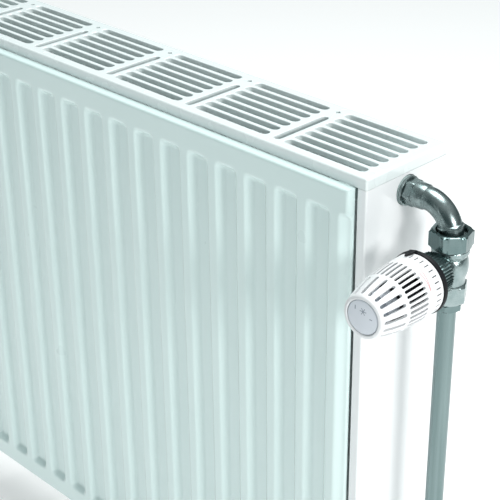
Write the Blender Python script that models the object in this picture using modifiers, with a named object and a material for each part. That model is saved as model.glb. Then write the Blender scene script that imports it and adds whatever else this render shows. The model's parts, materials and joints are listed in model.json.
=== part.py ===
"""A steel panel radiator, type 22, with wall brackets and a thermostatic valve on its upper right tapping.

The wall is the plane Y = 0 and the room is at -Y. X runs along the radiator and Z is up. The origin is on
the wall, behind the middle of the radiator.
"""

from math import asin, cos, pi, radians, sin, sqrt

import bmesh
import bpy
from mathutils import Matrix, Vector

MM = 0.001

# Radiator, overall
FLUTES = 18
FLUTE_PITCH = 33.333 * MM
END_MARGIN = 23.5 * MM  # last flute's centre line to the side cover's outer face
LENGTH = (FLUTES - 1) * FLUTE_PITCH + 2 * END_MARGIN
HEIGHT = 500.0 * MM
WALL_GAP = 31.0 * MM
COVER_DEPTH = 95.0 * MM
PANEL_PROUD = 8.7 * MM  # front panel's face ahead of the side covers
GAP = 0.3 * MM  # between pieces that touch

# Water panels
SKIN = 1.25 * MM
FLUTE_CROWN = 9.0 * MM
FLUTE_SLOPE = 6.0 * MM
FLUTE_DEEP = 5.5 * MM
HEADER_BAND = 20.0 * MM
HEADER_TAPER = 5.0 * MM
PANEL_END_GAP = 10.5 * MM  # panel's edge to the side cover's outer face
FIN_SHEET = 0.8 * MM
FIN_FOOT = 8.0 * MM
FIN_TOP = 11.0 * MM
FIN_SPACE = 3.0 * MM  # between the two convectors
FIN_END = 38.0 * MM  # convector's end to the panel's end, clear of the tees

# Casing
GRILLE_SHEET = 1.0 * MM
GRILLE_LIP = 9.2 * MM
GRILLE_SECTIONS = 6
SLOT_ROWS = 7
SLOT_WIDE = 6.9 * MM
SLOT_PITCH = 11.6 * MM
SLOT_END = 11.0 * MM  # slot's end to the grille's end
SLOT_BRIDGE = 19.0 * MM  # between the slots of two sections
COVER_SHEET = 0.75 * MM
COVER_FLANGE = 8.3 * MM
COVER_SHELF = 23.5 * MM
COVER_HOLE = 12.5 * MM

# Tappings
TAP_DROP = 24.0 * MM  # tapping's axis below the grille's top
TAP_RISE = 24.0 * MM  # lower tapping's axis above the panels' lower edge
TEE_TUBE = 10.0 * MM
TEE_WALL = 2.5 * MM
TEE_BACK = 30.0 * MM  # cross tube's axis behind the side cover's face
BOSS_RADIUS = 11.5 * MM
BOSS_BORE = 9.3 * MM
BOSS_PROUD = 0.75 * MM

# Wall brackets
BRACKET_PLACE = 0.30  # of the length, from the middle
BRACKET_WIDE = 30.0 * MM
BRACKET_SHEET = 3.0 * MM
LUG_PLACE = 0.36  # of the height, from the middle
BRACKET_PAST = 35.0 * MM  # bracket's end beyond the lug's middle
LUG_TALL = 25.0 * MM
LUG_SHEET = 2.0 * MM
LUG_WIDE = 42.0 * MM
LUG_LOOP = 10.0 * MM

# Valve
VALVE_OUT = 44.0 * MM  # valve's axis beside the side cover
BEND = 24.0 * MM
TUBE_RADIUS = 9.25 * MM
TUBE_BORE = 7.2 * MM
HEAD_DROP = 71.0 * MM  # head's axis below the grille's top
HEAD_SWING = radians(-3.0)
FLANGE_REACH = 3.15 * MM  # tail's end flange beyond its tube
UNION_TALL = 14.0 * MM
UNION_WALL = 1.7 * MM
BODY_WALL = 2.9 * MM
GLOBE_BULGE = 1.4 * MM
PIPE_RADIUS = 7.5 * MM
PIPE_WALL = 1.0 * MM
PIPE_BELOW = 120.0 * MM  # pipe's end below the radiator
OLIVE_THICK = 2.6 * MM
PLUG_FLATS = 17.0 * MM
STEM_RADIUS = 2.0 * MM
LIFT = 2.5 * MM

# Thermostatic head
NUT_CLEAR = 1.8 * MM  # knurled nut's back beyond the union nut's flat
NUT_LONG = 14.2 * MM
NUT_RADIUS = 17.0 * MM
NECK_RADIUS = 12.0 * MM
RING_SPACE = 6.0 * MM  # base ring's back beyond the knurled nut
RING_THICK = 4.6 * MM
RING_RADIUS = 25.0 * MM
HANDLE_LONG = 65.0 * MM
HANDLE_WALL = 2.4 * MM
CAP_RADIUS = 13.5 * MM
SENSOR_RADIUS = 12.5 * MM
SENSOR_LONG = 42.0 * MM

# Placed from the sizes above
END = LENGTH / 2
TOP = HEIGHT / 2
BOTTOM = -HEIGHT / 2
COVER_BACK = -WALL_GAP
COVER_FRONT = COVER_BACK - COVER_DEPTH
COVER_MIDDLE = COVER_BACK - COVER_DEPTH / 2
FRONT_FACE = COVER_FRONT - PANEL_PROUD
PANEL_TOP = TOP - GRILLE_LIP - 1.3 * GAP
PANEL_END = END - PANEL_END_GAP
SKIN_SEAM = SKIN + FLUTE_DEEP + GAP  # depth of the inner skin's near face
PANEL_THICK = SKIN_SEAM + SKIN
BRACKET_TALL = 2 * (LUG_PLACE * HEIGHT + BRACKET_PAST)
TAP_HIGH = TOP - TAP_DROP
TAP_LOW = BOTTOM + TAP_RISE
VALVE_X = END + VALVE_OUT
HEAD_Z = TOP - HEAD_DROP
FLANGE_RADIUS = TUBE_RADIUS + FLANGE_REACH
SPIGOT = FLANGE_RADIUS + 2 * GAP
UNION_FLATS = 2 * (SPIGOT + GAP + UNION_WALL)
BODY_RADIUS = SPIGOT + GLOBE_BULGE
OLIVE_POCKET = PIPE_RADIUS + OLIVE_THICK + 0.5 * MM
BODY_FLATS = 2 * (OLIVE_POCKET + BODY_WALL)
COMPRESSION_FLATS = 2 * (OLIVE_POCKET + 0.4 * MM)

# Places along the head's axis, from the pipe's axis
NUT_START = UNION_FLATS / 2 + NUT_CLEAR
NUT_END = NUT_START + NUT_LONG
RING_START = NUT_END + RING_SPACE
BRANCH_END = NUT_START + 5.2 * MM
INSERT_START = BRANCH_END - 11.6 * MM
INSERT_END = BRANCH_END + 6.0 * MM
SPRING_SEAT = BRANCH_END - 2.0 * MM
STEM_END = NUT_END + 4.0 * MM
SENSOR_START = RING_START + 13.0 * MM
SENSOR_END = SENSOR_START + SENSOR_LONG
SENSOR_WELL = SENSOR_START - 4.0 * MM

TURN_STEPS = 24
SMALL_STEPS = 16

for old in list(bpy.data.objects):
    bpy.data.objects.remove(old)
radiator = bpy.data.collections.new("panel_radiator")
cutters = bpy.data.collections.new("cutters")
bpy.context.scene.collection.children.link(radiator)
bpy.context.scene.collection.children.link(cutters)


def material(name, colour, roughness, metallic):
    made = bpy.data.materials.new(name)
    made.use_nodes = True
    shader = made.node_tree.nodes["Principled BSDF"]
    shader.inputs["Base Color"].default_value = (*colour, 1)
    shader.inputs["Roughness"].default_value = roughness
    shader.inputs["Metallic"].default_value = metallic
    return made


ENAMEL = material("white_enamel", (0.86, 0.88, 0.88), 0.28, 0)
COVER_ENAMEL = material("cover_enamel", (0.90, 0.91, 0.92), 0.32, 0)
FIN_PAINT = material("fin_paint", (0.72, 0.76, 0.76), 0.5, 0)
NICKEL = material("nickel_plate", (0.55, 0.58, 0.58), 0.22, 1)
BRASS = material("brass", (0.72, 0.56, 0.28), 0.3, 1)
PIPE_STEEL = material("pipe_steel", (0.66, 0.69, 0.69), 0.3, 1)
ZINC = material("zinc_steel", (0.60, 0.62, 0.63), 0.4, 1)
STEEL = material("stainless_steel", (0.62, 0.62, 0.62), 0.25, 1)
WHITE_PLASTIC = material("white_plastic", (0.90, 0.90, 0.90), 0.35, 0)
CAP_PLASTIC = material("cap_plastic", (0.78, 0.81, 0.86), 0.35, 0)
BLACK_PLASTIC = material("black_plastic", (0.03, 0.03, 0.03), 0.45, 0)
RED_PLASTIC = material("red_plastic", (0.60, 0.06, 0.05), 0.4, 0)
BLUE_PLASTIC = material("blue_plastic", (0.06, 0.16, 0.55), 0.4, 0)
RUBBER = material("rubber", (0.04, 0.04, 0.04), 0.8, 0)


def placed(name, mesh, finish, frame=None, group=radiator):
    """An object for the mesh, in world coordinates or under the empty it belongs to."""
    obj = bpy.data.objects.new(name, mesh)
    group.objects.link(obj)
    if isinstance(frame, bpy.types.Object):
        obj.parent = frame
    elif frame is not None:
        obj.matrix_world = frame
    if finish:
        mesh.materials.append(finish)
    if group is cutters:
        obj.hide_render = True
        obj.display_type = "WIRE"
    return obj


def combine(target, other, operation="DIFFERENCE"):
    """Cuts the other object from the target, or joins it on."""
    change = target.modifiers.new(f"{operation.lower()}_{other.name}", "BOOLEAN")
    change.operation = operation
    change.solver = "EXACT"
    change.object = other
    return target


def turned(name, outline, finish, frame=None, steps=TURN_STEPS, group=radiator):
    """A turned body. The outline's (radius, height) points run down its outer side."""
    ring = outline[0][0] > 0
    count = len(outline)
    edges = [(i, (i + 1) % count) for i in range(count if ring else count - 1)]
    mesh = bpy.data.meshes.new(name)
    mesh.from_pydata([(radius, 0, height) for radius, height in outline], edges, [])
    obj = placed(name, mesh, finish, frame, group)
    screw = obj.modifiers.new("turn", "SCREW")
    screw.axis = "Z"
    screw.steps = screw.render_steps = steps
    screw.use_merge_vertices = True
    screw.merge_threshold = 0.0001
    screw.use_smooth_shade = False
    return obj


def rod(name, radius, low, high, finish, frame=None, steps=TURN_STEPS, group=radiator):
    outline = [(0, high), (radius, high), (radius, low), (0, low)]
    return turned(name, outline, finish, frame, steps, group)


def ring(name, outer, inner, low, high, finish, frame=None, steps=TURN_STEPS):
    outline = [(outer, high), (outer, low), (inner, low), (inner, high)]
    return turned(name, outline, finish, frame, steps)


def hexagon(name, flats, low, high, finish, frame=None, group=radiator):
    """A hexagonal bar between two heights, measured across its flats."""
    made = bmesh.new()
    corner = flats / sqrt(3)
    place = Matrix.Translation((0, 0, (low + high) / 2)) @ Matrix.Rotation(radians(30), 4, "Z")
    bmesh.ops.create_cone(
        made, cap_ends=True, segments=6, radius1=corner, radius2=corner, depth=high - low, matrix=place
    )
    mesh = bpy.data.meshes.new(name)
    made.to_mesh(mesh)
    made.free()
    return placed(name, mesh, finish, frame, group)


def add_block(made, low, high):
    """A box between two corners, added to a bmesh."""
    middle = [(a + b) / 2 for a, b in zip(low, high)]
    size = [b - a for a, b in zip(low, high)]
    frame = Matrix.Translation(middle) @ Matrix.Diagonal((*size, 1))
    return bmesh.ops.create_cube(made, size=1, matrix=frame)


def block(name, low, high, finish, frame=None, group=radiator):
    made = bmesh.new()
    add_block(made, low, high)
    mesh = bpy.data.meshes.new(name)
    made.to_mesh(mesh)
    made.free()
    return placed(name, mesh, finish, frame, group)


def sheet(name, columns, rows, depth_at, thickness, finish, outward=-1):
    """Sheet metal over a grid of X and Z stations. depth_at gives Y, and outward the side the face looks to."""
    made = bmesh.new()
    grid = [[made.verts.new((x, depth_at(i, j), z)) for i, x in enumerate(columns)] for j, z in enumerate(rows)]
    for low, high in zip(grid, grid[1:]):
        for i in range(len(columns) - 1):
            corners = [low[i], low[i + 1], high[i + 1], high[i]]
            made.faces.new(corners if outward < 0 else corners[::-1])
    bmesh.ops.remove_doubles(made, verts=made.verts, dist=0.00001)
    mesh = bpy.data.meshes.new(name)
    made.to_mesh(mesh)
    made.free()
    obj = placed(name, mesh, finish)
    wall = obj.modifiers.new("sheet", "SOLIDIFY")
    wall.thickness = thickness
    wall.offset = -1
    wall.use_even_offset = True
    return obj


def swept(name, points, radius, finish, group=radiator):
    """A round bar along a path, as a mesh that can be cut and joined."""
    curve = bpy.data.curves.new(name, "CURVE")
    curve.dimensions = "3D"
    curve.bevel_depth = radius
    curve.bevel_resolution = 6
    curve.use_fill_caps = True
    spline = curve.splines.new("POLY")
    spline.points.add(len(points) - 1)
    for point, place in zip(spline.points, points):
        point.co = (*place, 1)
    guide = bpy.data.objects.new(name + "_path", curve)
    bpy.context.scene.collection.objects.link(guide)
    graph = bpy.context.evaluated_depsgraph_get()
    mesh = bpy.data.meshes.new_from_object(guide.evaluated_get(graph))
    made = bmesh.new()
    made.from_mesh(mesh)
    bmesh.ops.remove_doubles(made, verts=made.verts, dist=0.00001)
    made.to_mesh(mesh)
    made.free()
    bpy.data.objects.remove(guide)
    mesh.materials.clear()
    return placed(name, mesh, finish, None, group)


def facing(origin, forward, up):
    """A frame at the origin whose Z looks forward and whose Y is up."""
    forward = Vector(forward).normalized()
    up = Vector(up).normalized()
    across = up.cross(forward)
    return Matrix.Translation(origin) @ Matrix((across, up, forward)).transposed().to_4x4()


def axis_empty(name, frame):
    empty = bpy.data.objects.new(name, None)
    radiator.objects.link(empty)
    empty.matrix_world = frame
    return empty


# Water panels: a fluted outer skin, pressed as a tray, and a flat inner skin welded inside its rim
def flute_stations():
    """X of each bend across the flutes, and whether the sheet lies on a crown there."""
    stations = []
    for flute in range(FLUTES):
        centre = (flute - (FLUTES - 1) / 2) * FLUTE_PITCH
        half = FLUTE_CROWN / 2
        stations.append((centre - half - FLUTE_SLOPE, False))
        stations.append((centre - half, True))
        stations.append((centre + half, True))
        stations.append((centre + half + FLUTE_SLOPE, False))
    return stations


def outer_skin(name, face, outward):
    stations = flute_stations()
    stations = [(-PANEL_END, False)] * 2 + stations + [(PANEL_END, False)] * 2
    columns = [x for x, crown in stations]
    low, high = BOTTOM, PANEL_TOP
    band, taper = HEADER_BAND, HEADER_BAND + HEADER_TAPER
    rows = [low, low, low + band, low + taper, high - taper, high - band, high, high]
    fluted = (3, 4)

    def depth_at(i, j):
        if i in (0, len(columns) - 1) or j in (0, len(rows) - 1):
            depth = PANEL_THICK
        elif j in fluted and not stations[i][1]:
            depth = FLUTE_DEEP
        else:
            depth = 0
        return face - outward * depth

    return sheet(name, columns, rows, depth_at, SKIN, ENAMEL, outward)


def inner_skin(name, face, outward):
    inset = SKIN + GAP
    low = (-PANEL_END + inset, face - outward * SKIN_SEAM, BOTTOM + inset)
    high = (PANEL_END - inset, face - outward * PANEL_THICK, PANEL_TOP - inset)
    corners = [sorted(pair) for pair in zip(low, high)]
    return block(name, [a for a, b in corners], [b for a, b in corners], ENAMEL)


outer_skin("front_panel_outer_skin", FRONT_FACE, -1)
inner_skin("front_panel_inner_skin", FRONT_FACE, -1)
outer_skin("rear_panel_outer_skin", COVER_BACK, 1)
inner_skin("rear_panel_inner_skin", COVER_BACK, 1)
FRONT_INSIDE = FRONT_FACE + PANEL_THICK + GAP
REAR_INSIDE = COVER_BACK - PANEL_THICK - GAP


# Convectors: one folded strip spot-welded to each inner skin
def convector(name, root, outward):
    reach = (REAR_INSIDE - FRONT_INSIDE - FIN_SPACE) / 2 - FIN_SHEET
    columns, depths = [], []
    for flute in range(FLUTES):
        centre = (flute - (FLUTES - 1) / 2) * FLUTE_PITCH
        if abs(centre) > PANEL_END - FIN_END:
            continue
        columns += [centre - FIN_FOOT / 2, centre + FIN_FOOT / 2]
        depths += [0, 0]
        columns += [centre + (FLUTE_PITCH - FIN_TOP) / 2, centre + (FLUTE_PITCH + FIN_TOP) / 2]
        depths += [reach, reach]
    columns, depths = columns[:-2], depths[:-2]
    rows = [TAP_LOW + TEE_TUBE + 7 * MM, TAP_HIGH - TEE_TUBE - 7 * MM]
    return sheet(name, columns, rows, lambda i, j: root - outward * depths[i], FIN_SHEET, FIN_PAINT, outward)


convector("front_convector", FRONT_INSIDE, -1)
convector("rear_convector", REAR_INSIDE, 1)


# Tees: a cross tube between the panels, with a tapped boss out through the side cover
def tee(name, side, height):
    axis_x = side * (END - TEE_BACK)
    reach = REAR_INSIDE - FRONT_INSIDE
    across = facing((axis_x, FRONT_INSIDE, height), (0, 1, 0), (0, 0, 1))
    along = facing((axis_x, COVER_MIDDLE, height), (side, 0, 0), (0, 0, 1))
    boss_long = TEE_BACK + BOSS_PROUD
    body = rod(name, TEE_TUBE, 0, reach, ENAMEL, across)
    combine(body, rod(name + "_boss", BOSS_RADIUS, 2 * MM, boss_long, None, along, group=cutters), "UNION")
    bore = rod(name + "_tube_bore", TEE_TUBE - TEE_WALL, -MM, reach + MM, None, across, group=cutters)
    combine(body, bore)
    tapping = rod(name + "_tapping", BOSS_BORE, MM, boss_long + MM, None, along, group=cutters)
    return combine(body, tapping)


for side, side_name in ((1, "right"), (-1, "left")):
    tee(f"upper_{side_name}_tee", side, TAP_HIGH)
    tee(f"lower_{side_name}_tee", side, TAP_LOW)


# Side covers: a folded sheet with front and rear flanges, a shelf for the grille and two tapping holes
def side_cover(name, side):
    top = TOP - GRILLE_LIP - GAP
    bottom = BOTTOM + 6 * MM
    shelf_front = COVER_FRONT + 2 * MM
    shelf_back = COVER_BACK - PANEL_THICK - 2 * GAP
    face = side * END
    flange = side * (END - COVER_FLANGE)
    shelf = side * (END - COVER_SHELF)
    made = bmesh.new()
    low = [made.verts.new((x, y, bottom)) for x, y in ((flange, COVER_FRONT), (face, COVER_FRONT))]
    low += [made.verts.new((face, y, bottom)) for y in (shelf_front, shelf_back, COVER_BACK)]
    low.append(made.verts.new((flange, COVER_BACK, bottom)))
    high = [made.verts.new((point.co.x, point.co.y, top)) for point in low]
    faces = [[low[i], low[i + 1], high[i + 1], high[i]] for i in range(len(low) - 1)]
    inner = [made.verts.new((shelf, y, top)) for y in (shelf_back, shelf_front)]
    faces.append([high[2], high[3], inner[0], inner[1]])
    for corners in faces:
        made.faces.new(corners if side > 0 else corners[::-1])
    mesh = bpy.data.meshes.new(name)
    made.to_mesh(mesh)
    made.free()
    cover = placed(name, mesh, COVER_ENAMEL)
    wall = cover.modifiers.new("sheet", "SOLIDIFY")
    wall.thickness = COVER_SHEET
    wall.offset = -1
    wall.use_even_offset = True
    for height, place in ((TAP_HIGH, "upper"), (TAP_LOW, "lower")):
        along = facing((face, COVER_MIDDLE, height), (side, 0, 0), (0, 0, 1))
        hole = rod(f"{name}_{place}_hole", COVER_HOLE, -4 * MM, 4 * MM, None, along, group=cutters)
        combine(cover, hole)
    return cover


side_cover("right_side_cover", 1)
side_cover("left_side_cover", -1)


# Top grille: a shallow tray, open below, with rows of long slots in equal sections
def top_grille():
    lip = TOP - GRILLE_LIP
    made = bmesh.new()
    add_block(made, (-END, COVER_FRONT, lip), (END, COVER_BACK, TOP))
    under = [face for face in made.faces if face.calc_center_median().z < lip + GAP]
    bmesh.ops.delete(made, geom=under, context="FACES_ONLY")
    mesh = bpy.data.meshes.new("top_grille")
    made.to_mesh(mesh)
    made.free()
    grille = placed("top_grille", mesh, ENAMEL)
    wall = grille.modifiers.new("sheet", "SOLIDIFY")
    wall.thickness = GRILLE_SHEET
    wall.offset = -1
    wall.use_even_offset = True
    slots = bmesh.new()
    section = LENGTH / GRILLE_SECTIONS
    for part in range(GRILLE_SECTIONS):
        start = -END + part * section + (SLOT_END if part == 0 else SLOT_BRIDGE / 2)
        stop = -END + (part + 1) * section - (SLOT_END if part == GRILLE_SECTIONS - 1 else SLOT_BRIDGE / 2)
        for row in range(SLOT_ROWS):
            middle = COVER_MIDDLE + (row - (SLOT_ROWS - 1) / 2) * SLOT_PITCH
            low = (start, middle - SLOT_WIDE / 2, TOP - 3 * MM)
            add_block(slots, low, (stop, middle + SLOT_WIDE / 2, TOP + 2 * MM))
    cutter = bpy.data.meshes.new("grille_slots")
    slots.to_mesh(cutter)
    slots.free()
    return combine(grille, placed("grille_slots", cutter, None, group=cutters))


top_grille()


# Wall fixing: looped lugs welded to the rear panel, and angle brackets whose hooks stand inside the loops
def lug(name, x, height):
    pad = COVER_BACK + GAP + LUG_SHEET
    loop = pad + LUG_LOOP
    half, leg = LUG_WIDE / 2, 10 * MM
    columns = [x - half, x - leg, x - leg, x + leg, x + leg, x + half]
    depths = [pad, pad, loop, loop, pad, pad]
    rows = [height - LUG_TALL / 2, height + LUG_TALL / 2]
    return sheet(name, columns, rows, lambda i, j: depths[i], LUG_SHEET, ENAMEL, 1)


HOOK_ARM = 12.0 * MM
HOOK_TONGUE = 15.0 * MM
HOOK_THICK = 4.0 * MM
WEB_DEEP = 13.0 * MM
TONGUE_MIDDLE = COVER_BACK + GAP + LUG_SHEET + (LUG_LOOP - LUG_SHEET) / 2


def bracket(name, x, lug_heights):
    half = BRACKET_SHEET / 2
    plate = block(
        name,
        (x - half, -BRACKET_SHEET, -BRACKET_TALL / 2),
        (x - half + BRACKET_WIDE, 0, BRACKET_TALL / 2),
        ZINC,
    )
    outline = [(-1 * MM, BRACKET_TALL / 2), (-1 * MM, -BRACKET_TALL / 2), (-WEB_DEEP, -BRACKET_TALL / 2)]
    for height in sorted(lug_heights):
        arm = height - LUG_TALL / 2 - GAP
        tip = TONGUE_MIDDLE - HOOK_THICK / 2
        heel = TONGUE_MIDDLE + HOOK_THICK / 2
        outline += [(-WEB_DEEP, arm - HOOK_ARM), (tip, arm - HOOK_ARM), (tip, arm + HOOK_TONGUE)]
        outline += [(heel, arm + HOOK_TONGUE), (heel, arm), (-WEB_DEEP, arm)]
    outline.append((-WEB_DEEP, BRACKET_TALL / 2))
    made = bmesh.new()
    points = [made.verts.new((x - half, y, z)) for y, z in outline]
    web = made.faces.new(points)
    grown = bmesh.ops.extrude_face_region(made, geom=[web])["geom"]
    moved = [item for item in grown if isinstance(item, bmesh.types.BMVert)]
    bmesh.ops.translate(made, verts=moved, vec=(BRACKET_SHEET, 0, 0))
    bmesh.ops.recalc_face_normals(made, faces=made.faces)
    mesh = bpy.data.meshes.new(name + "_web")
    made.to_mesh(mesh)
    made.free()
    combine(plate, placed(name + "_web", mesh, None, group=cutters), "UNION")
    slots = bmesh.new()
    for height in (-BRACKET_TALL * 0.4, BRACKET_TALL * 0.4):
        middle = x + BRACKET_WIDE * 0.55
        add_block(
            slots,
            (middle - 4 * MM, -BRACKET_SHEET - MM, height - 10 * MM),
            (middle + 4 * MM, MM, height + 10 * MM),
        )
    cutter = bpy.data.meshes.new(name + "_slots")
    slots.to_mesh(cutter)
    slots.free()
    return combine(plate, placed(name + "_slots", cutter, None, group=cutters))


def hook_sleeve(name, x, height):
    """A moulded cap over the hook's tongue, which keeps steel off steel."""
    arm = height - LUG_TALL / 2 - GAP
    wide = BRACKET_SHEET / 2 + GAP
    deep = HOOK_THICK / 2 + GAP
    wall = 1.2 * MM
    low, high = arm + GAP, arm + HOOK_TONGUE + GAP
    sleeve = block(
        name,
        (x - wide - wall, TONGUE_MIDDLE - deep - wall, low),
        (x + wide + wall, TONGUE_MIDDLE + deep + wall, high + wall),
        BLACK_PLASTIC,
    )
    pocket = block(
        name + "_pocket",
        (x - wide, TONGUE_MIDDLE - deep, low - MM),
        (x + wide, TONGUE_MIDDLE + deep, high),
        None,
        group=cutters,
    )
    return combine(sleeve, pocket)


for side, side_name in ((1, "right"), (-1, "left")):
    place = side * BRACKET_PLACE * LENGTH
    heights = {"upper": LUG_PLACE * HEIGHT, "lower": -LUG_PLACE * HEIGHT}
    bracket(f"{side_name}_wall_bracket", place, heights.values())
    for level, height in heights.items():
        lug(f"{level}_{side_name}_lug", place, height)
        hook_sleeve(f"{level}_{side_name}_hook_sleeve", place, height)


# Closed tappings: an air vent at the upper left and a blanking plug at the lower right
PLUG_SHANK = BOSS_BORE - GAP
BOSS_FACE = END + BOSS_PROUD
SEAL_THICK = 1.2 * MM


def flat_seal(name, frame):
    return ring(name, BOSS_RADIUS, BOSS_BORE - GAP + 0.3 * MM, GAP, GAP + SEAL_THICK, RUBBER, frame)


def plug(name, frame, finish):
    """A hexagonal plug with a round flange and a shank in the tapping."""
    seat = GAP + SEAL_THICK + GAP
    shank = rod(name, PLUG_SHANK, -12 * MM, seat + MM, finish, frame)
    flange = rod(name + "_flange", BOSS_RADIUS + MM, seat, seat + 2 * MM, None, frame, group=cutters)
    head = hexagon(name + "_head", PLUG_FLATS, seat + MM, seat + 6.5 * MM, None, frame, group=cutters)
    combine(shank, flange, "UNION")
    return combine(shank, head, "UNION")


vent_frame = facing((-BOSS_FACE, COVER_MIDDLE, TAP_HIGH), (-1, 0, 0), (0, 0, 1))
vent_plug = plug("air_vent_plug", vent_frame, NICKEL)
flat_seal("air_vent_seal", vent_frame)
VENT_SCREW = 2.6 * MM
combine(vent_plug, rod("vent_bore", VENT_SCREW + GAP, -13 * MM, 12 * MM, None, vent_frame, group=cutters))
vent_axis = axis_empty("vent_axis", vent_frame)
vent_screw = rod("vent_screw", VENT_SCREW, -4 * MM, 9.5 * MM, BRASS, vent_axis, SMALL_STEPS)
combine(
    vent_screw,
    block(
        "vent_screw_slot",
        (-4 * MM, -0.5 * MM, 8 * MM),
        (4 * MM, 0.5 * MM, 11 * MM),
        None,
        vent_axis,
        cutters,
    ),
)
blank_frame = facing((BOSS_FACE, COVER_MIDDLE, TAP_LOW), (1, 0, 0), (0, 0, 1))
plug("blanking_plug", blank_frame, NICKEL)
flat_seal("blanking_plug_seal", blank_frame)

# Valve tail: threaded stub, flanged collar with flats, a bend, and an end flange held by the union nut
tail_frame = facing((BOSS_FACE, COVER_MIDDLE, TAP_HIGH), (1, 0, 0), (0, 0, 1))
flat_seal("tail_seal", tail_frame)
COLLAR_START = GAP + SEAL_THICK + GAP
COLLAR_END = VALVE_OUT - BOSS_PROUD - BEND
BEND_LOW = TAP_HIGH - BEND
NUT_LIP = 3.5 * MM
NUT_MOUTH = TUBE_RADIUS + 1.6 * MM  # clears the tail, which still bends there
UNION_TOP = BEND_LOW + 6.0 * MM
UNION_LOW = UNION_TOP - UNION_TALL
FLANGE_TOP = UNION_TOP - NUT_LIP - GAP
FLANGE_LOW = FLANGE_TOP - 3.7 * MM


def tail_path(start, stop):
    """From the stub, round the quarter bend and down to the flange."""
    points = [(start, COVER_MIDDLE, TAP_HIGH), (VALVE_X - BEND, COVER_MIDDLE, TAP_HIGH)]
    turns = 10
    for i in range(1, turns):
        angle = i / turns * pi / 2
        across = VALVE_X - BEND + BEND * sin(angle)
        points.append((across, COVER_MIDDLE, TAP_HIGH - BEND * (1 - cos(angle))))
    points.append((VALVE_X, COVER_MIDDLE, BEND_LOW))
    points.append((VALVE_X, COVER_MIDDLE, stop))
    return points


bent_tail = swept("bent_tail", tail_path(END + 6 * MM, FLANGE_LOW + MM), TUBE_RADIUS, NICKEL)
stub = rod("tail_stub", PLUG_SHANK, -12 * MM, COLLAR_START + MM, None, tail_frame, group=cutters)
collar_outline = [
    (0, COLLAR_END),
    (TUBE_RADIUS + 0.6 * MM, COLLAR_END),
    (TUBE_RADIUS + 1.6 * MM, COLLAR_END - 1.5 * MM),
    (TUBE_RADIUS + 2.2 * MM, COLLAR_START + 2 * MM),
    (BOSS_RADIUS + 0.3 * MM, COLLAR_START),
    (0, COLLAR_START),
]
collar = turned("tail_collar", collar_outline, None, tail_frame, group=cutters)
end_flange = rod(
    "tail_flange",
    FLANGE_RADIUS,
    FLANGE_LOW,
    FLANGE_TOP,
    None,
    Matrix.Translation((VALVE_X, COVER_MIDDLE, 0)),
    group=cutters,
)
for piece in (stub, collar, end_flange):
    combine(bent_tail, piece, "UNION")
tail_bore = swept("tail_bore", tail_path(END - 14 * MM, FLANGE_LOW - MM), TUBE_BORE, None, cutters)
combine(bent_tail, tail_bore)

# Valve body, upright: spigot, globe, head branch and lower hexagon, with a seat between its two bores
upright = Matrix.Translation((VALVE_X, COVER_MIDDLE, 0))
head_way = (-sin(HEAD_SWING), -cos(HEAD_SWING), 0)
head_frame = facing((VALVE_X, COVER_MIDDLE, HEAD_Z), head_way, (0, 0, 1))
HEX_TOP = HEAD_Z - 15.0 * MM
HEX_LOW = HEX_TOP - 15.0 * MM
BRANCH_RADIUS = 11.5 * MM
THREAD_RADIUS = 14.6 * MM
CHAMBER_RADIUS = 8.0 * MM
SEAT = 2.0 * MM
SEAT_BORE = 4.0 * MM
NECK = SPIGOT
SPIGOT_TOP = FLANGE_LOW - GAP
PIPE_TOP = HEX_TOP + 2.0 * MM


def globe_points(steps=6):
    """The globe's side between its two necks, as an arc."""
    reach = 7.0 * MM
    sag = BODY_RADIUS - NECK
    radius = (reach**2 + sag**2) / (2 * sag)
    spread = asin(reach / radius)
    middle = BODY_RADIUS - radius
    turns = [spread * (1 - 2 * i / steps) for i in range(steps + 1)]
    return [(middle + radius * cos(turn), HEAD_Z + radius * sin(turn)) for turn in turns]


body_outline = [
    (0, SPIGOT_TOP),
    (SPIGOT, SPIGOT_TOP),
    (SPIGOT, UNION_LOW - GAP),
    (BODY_RADIUS + 0.2 * MM, UNION_LOW - GAP),
    (BODY_RADIUS + 0.2 * MM, UNION_LOW - 4.5 * MM),
    *globe_points(),
    (NECK, HEX_TOP - MM),
    (0, HEX_TOP - MM),
]
valve_body = turned("valve_body", body_outline, NICKEL, upright)
branch_outline = [
    (0, BRANCH_END),
    (THREAD_RADIUS, BRANCH_END),
    (THREAD_RADIUS, NUT_START - 1.3 * MM),
    (BRANCH_RADIUS, NUT_START - 1.3 * MM),
    (BRANCH_RADIUS, 0),
    (0, 0),
]
combine(valve_body, turned("body_branch", branch_outline, None, head_frame, group=cutters), "UNION")
lower_hex = hexagon("body_hex", BODY_FLATS, HEX_LOW, HEX_TOP, None, upright, cutters)
combine(valve_body, lower_hex, "UNION")
OLIVE_ROOM = HEX_LOW + 14.3 * MM
pocket_outline = [
    (0, PIPE_TOP + GAP),
    (PIPE_RADIUS + GAP, PIPE_TOP + GAP),
    (PIPE_RADIUS + GAP, OLIVE_ROOM + MM),
    (OLIVE_POCKET, OLIVE_ROOM),
    (OLIVE_POCKET, HEX_LOW - MM),
    (0, HEX_LOW - MM),
]
combine(valve_body, turned("pipe_socket", pocket_outline, None, upright, group=cutters))


def passage(name, forward, radius, low, high):
    """An upright bore, set forward of the pipe's axis along the head."""
    place = Matrix.Translation(head_frame @ Vector((0, 0, forward)) - Vector((0, 0, HEAD_Z)))
    return rod(name, radius, low, high, None, place, SMALL_STEPS, cutters)


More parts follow.
